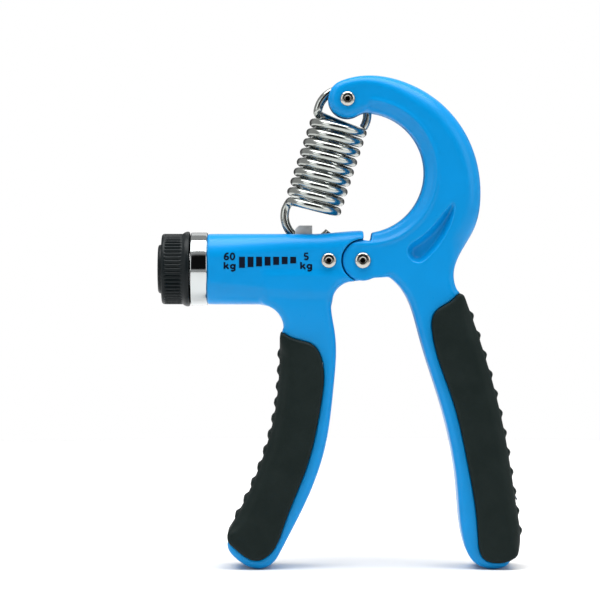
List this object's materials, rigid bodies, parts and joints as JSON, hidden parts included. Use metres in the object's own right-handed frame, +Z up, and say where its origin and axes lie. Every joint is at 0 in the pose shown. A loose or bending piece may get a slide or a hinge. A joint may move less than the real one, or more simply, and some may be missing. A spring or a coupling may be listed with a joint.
{
  "type": "hand grip strengthener",
  "caption": "Spring hand grip strengthener: two hinged handles with rubber pads, a looped arm over a coil tension spring, and a knob that slides the spring's foot to set the load.",
  "frame": {"origin": "on the floor under the middle of the object's box, on its mid plane, with both handle ends standing on the floor", "axes": "+X from the knob towards the lever handle, +Z up through the hoop, -Y towards the printed front face"},
  "size_m": [0.1176, 0.0244, 0.16],
  "materials": {
    "blue_shell": "smooth semi-gloss moulded plastic",
    "black_rubber": "soft satin rubber with raised nubs on the gripped edge",
    "black_plastic": "satin moulded plastic, ribbed on the knob",
    "chrome": "bright polished plating",
    "spring_wire": "bright nickel plated wire with faint drawing lines",
    "rivet_steel": "bright plated, rolled edge",
    "plated_steel": "zinc plated",
    "brass": "turned",
    "white_nylon": "natural nylon"
  },
  "bodies": {
    "adjuster": {"adjuster_arm": "blue_shell", "left_grip_pad": "black_rubber", "chrome_ring": "chrome", "front_bearing": "white_nylon", "screw_end_block": "white_nylon", "body_rivet": "rivet_steel", "body_rivet_washer": "rivet_steel"},
    "lever": {"lever_arm": "blue_shell", "right_grip_pad": "black_rubber", "hinge_rivet": "rivet_steel", "hinge_rivet_washer": "rivet_steel", "hinge_washers": "white_nylon", "top_pin_rivet": "rivet_steel", "top_pin_rivet_washer": "rivet_steel", "top_pin_spacers": "white_nylon"},
    "knob": {"knob": "black_plastic", "knob_end_cap": "black_plastic", "knob_screw": "plated_steel", "lead_screw": "plated_steel", "thrust_washer": "plated_steel"},
    "slider": {"slider_carrier": "chrome", "threaded_insert": "brass"},
    "spring_top": {"spring_upper_hook": "spring_wire"},
    "spring_middle": {"spring_coil": "spring_wire"},
    "spring_bottom": {"spring_lower_hook": "spring_wire"}
  },
  "joints": [
    {"name": "squeeze", "type": "hinge", "parent": "adjuster", "child": "lever", "pos_m": [0.0077, 0, 0.1], "axis": [0, 1, 0], "range_deg": [0, 34], "stiffness_Nm_per_rad": 1.5, "springref_deg": -20.05},
    {"name": "knob_turn", "type": "hinge", "parent": "adjuster", "child": "knob", "pos_m": [-0.053, 0, 0.0971], "axis": [-1, 0, 0], "range_deg": [-3965, 185]},
    {"name": "slider_travel", "type": "slide", "parent": "adjuster", "child": "slider", "axis": [1, 0, 0], "range_m": [-0.022, 0.001]},
    {"name": "spring_swing", "type": "hinge", "parent": "lever", "child": "spring_top", "pos_m": [0.0028, 0, 0.1523], "axis": [0, 1, 0], "range_deg": [-1.2, 21.1]},
    {"name": "spring_reach", "type": "slide", "parent": "spring_top", "child": "spring_middle", "axis": [-0.3081, 0, -0.9514], "range_m": [-0.0006, 0.0108], "deforming": ["spring_coil", "spring_upper_hook"]},
    {"name": "spring_stretch", "type": "slide", "parent": "spring_middle", "child": "spring_bottom", "axis": [-0.0266, 0, -0.9996], "range_m": [0, 0.01225], "deforming": ["spring_lower_hook"]}
  ],
  "couplings": [
    {"joint": "knob_turn", "follows": "slider_travel", "rad_per_m": 3141.6},
    {"joint": "spring_swing", "follows": "slider_travel", "rad_per_m": -16.579},
    {"joint": "spring_reach", "follows": "slider_travel", "ratio": -0.48355},
    {"joint": "spring_stretch", "follows": "squeeze", "m_per_rad": 0.020473}
  ]
}
